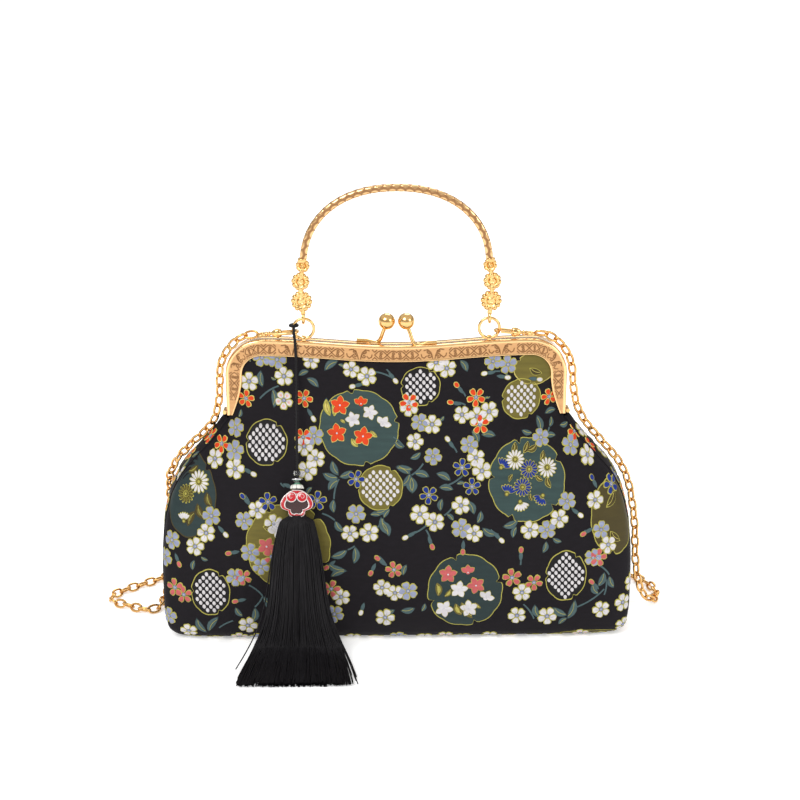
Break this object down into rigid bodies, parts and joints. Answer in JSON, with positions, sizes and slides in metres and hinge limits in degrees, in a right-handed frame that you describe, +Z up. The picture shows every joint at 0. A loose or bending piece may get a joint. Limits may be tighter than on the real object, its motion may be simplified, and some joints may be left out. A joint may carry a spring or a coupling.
{
  "type": "frame handbag",
  "caption": "Brocade evening bag on a metal kiss-lock frame, with an arch handle, a clip-on chain strap and a tassel charm",
  "frame": {"origin": "centre of the flat base, on the surface the bag stands on", "axes": "+X across the bag's width to the viewer's right, +Y towards its back, +Z up; its front faces -Y"},
  "size_m": [0.31, 0.141, 0.2375],
  "materials": {
    "brocade": "black woven brocade with flowers",
    "frame_gold": "engraved satin rose gold plate",
    "polished_gold": "polished gold plate",
    "tassel_black": "black silky thread",
    "clear_glass": "clear faceted",
    "silver_metal": "polished",
    "cap_enamel": "green and white enamel",
    "charm_enamel": "red enamel with white lines"
  },
  "bodies": {
    "bag": {"bag_back": "brocade", "bag_front": "brocade", "bag_gusset": "brocade", "chain_strap": "polished_gold", "clasp_eyelet_left": "polished_gold", "clasp_eyelet_right": "polished_gold", "clasp_hook_left": "polished_gold", "clasp_hook_right": "polished_gold", "frame_back": "frame_gold", "frame_front": "frame_gold", "kiss_lock_left": "polished_gold", "kiss_lock_right": "polished_gold", "leg_hinge_left": "frame_gold", "leg_hinge_right": "frame_gold", "ring_left": "polished_gold", "ring_right": "polished_gold", "ring_strap_left": "polished_gold", "ring_strap_right": "polished_gold", "tassel_bead": "clear_glass", "tassel_cap": "cap_enamel", "tassel_charm": "charm_enamel", "tassel_cord": "tassel_black", "tassel_disc": "silver_metal", "tassel_loop": "tassel_black", "tassel_skirt": "tassel_black"},
    "handle": {"handle_arch": "polished_gold", "handle_end_left": "polished_gold", "handle_end_right": "polished_gold"},
    "lever_left": {"clasp_lever_left": "polished_gold"},
    "lever_right": {"clasp_lever_right": "polished_gold"}
  },
  "joints": [
    {"name": "handle_swing", "type": "hinge", "parent": "bag", "child": "handle", "pos_m": [0, -0.0027, 0.16748], "axis": [1, 0, 0], "range_deg": [-90, 90]},
    {"name": "lever_left_press", "type": "hinge", "parent": "bag", "child": "lever_left", "pos_m": [-0.06282, -0.00127, 0.15972], "axis": [-0.0872, 0, 0.9962], "range_deg": [-16, 0], "stiffness_Nm_per_rad": 0.002, "springref_deg": 20.05},
    {"name": "lever_right_press", "type": "hinge", "parent": "bag", "child": "lever_right", "pos_m": [0.06282, -0.00413, 0.15972], "axis": [0.0872, 0, 0.9962], "range_deg": [-16, 0], "stiffness_Nm_per_rad": 0.002, "springref_deg": 20.05}
  ]
}
